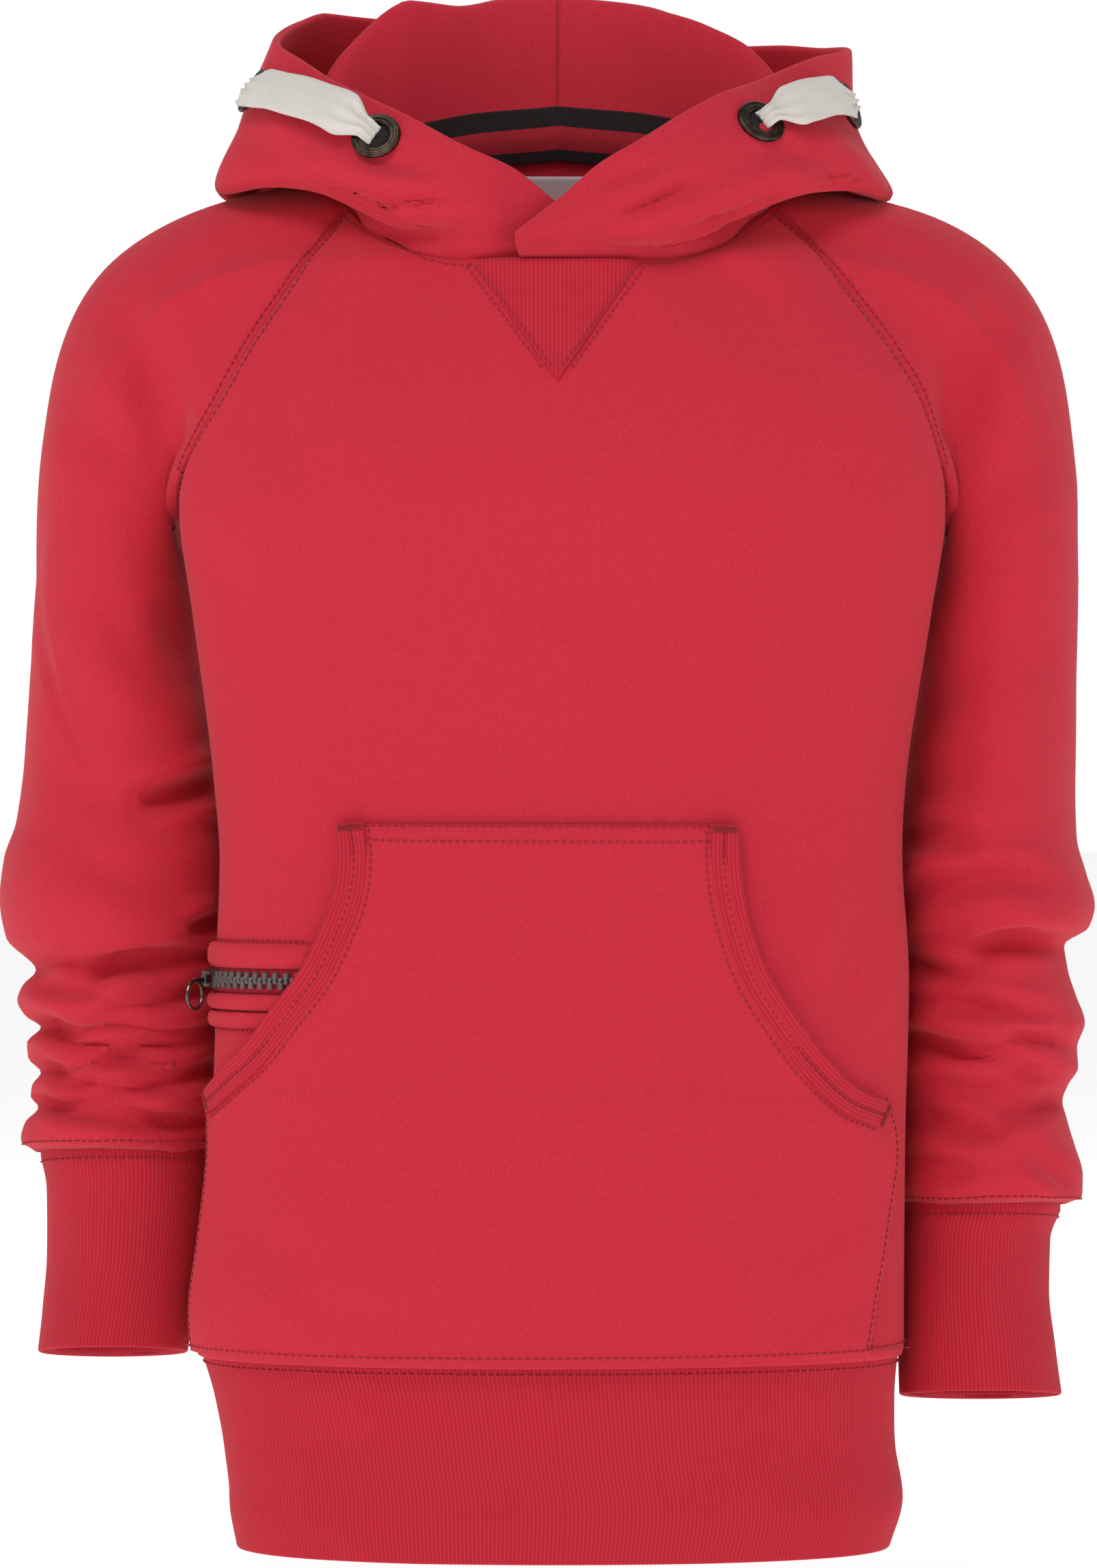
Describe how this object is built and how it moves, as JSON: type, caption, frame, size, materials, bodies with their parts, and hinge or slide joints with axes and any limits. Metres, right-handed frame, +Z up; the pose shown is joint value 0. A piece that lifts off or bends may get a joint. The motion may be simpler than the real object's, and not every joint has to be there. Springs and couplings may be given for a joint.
{
  "type": "kids hoodie",
  "caption": "Child's pullover hoodie, filled out as worn: raglan sleeves, lined hood lying back, kangaroo pocket, side zip pocket, ribbed hem and cuffs.",
  "frame": {"origin": "middle of the neck opening at the height of the shoulders, where the wearer holds it up", "axes": "+X to the viewer's right, +Y towards the garment's back, +Z up"},
  "size_m": [0.4437, 0.2281, 0.6303],
  "materials": {
    "fleece": "brushed sweatshirt knit, matt",
    "rib": "ribbed knit, matt",
    "tape": "woven cotton tape, matt",
    "neck_tape": "woven herringbone tape with a red middle",
    "label": "plain woven label, satin",
    "eyelet": "dark antique bronze",
    "zip_teeth": "moulded, dark grey",
    "zip_metal": "dark nickel"
  },
  "bodies": {
    "garment": {"front": "fleece", "back": "fleece", "sleeve_left": "fleece", "sleeve_right": "fleece", "cuff_left": "rib", "cuff_right": "rib", "hem_rib": "rib", "hood_left": "fleece", "hood_right": "fleece", "hood_lining_left": "fleece", "hood_lining_right": "fleece", "pocket": "fleece", "pocket_binding_left": "rib", "pocket_binding_right": "rib", "neck_gusset": "rib", "zip_welt_upper": "rib", "zip_welt_lower": "rib", "zip_welt_lowest": "rib", "zip_tape": "fleece", "zip_chain": "zip_teeth", "zip_slider": "zip_metal", "eyelet_left_inner": "eyelet", "eyelet_left_outer": "eyelet", "eyelet_right_inner": "eyelet", "eyelet_right_outer": "eyelet", "tape_left": "tape", "tape_right": "tape", "neck_tape": "neck_tape", "label": "label"},
    "pull": {"zip_pull": "zip_metal"}
  },
  "joints": [
    {"name": "pull_swing", "type": "hinge", "parent": "garment", "child": "pull", "pos_m": [-0.14006, -0.04156, -0.29899], "axis": [0, 0, 1], "range_deg": [-55, 35]}
  ]
}
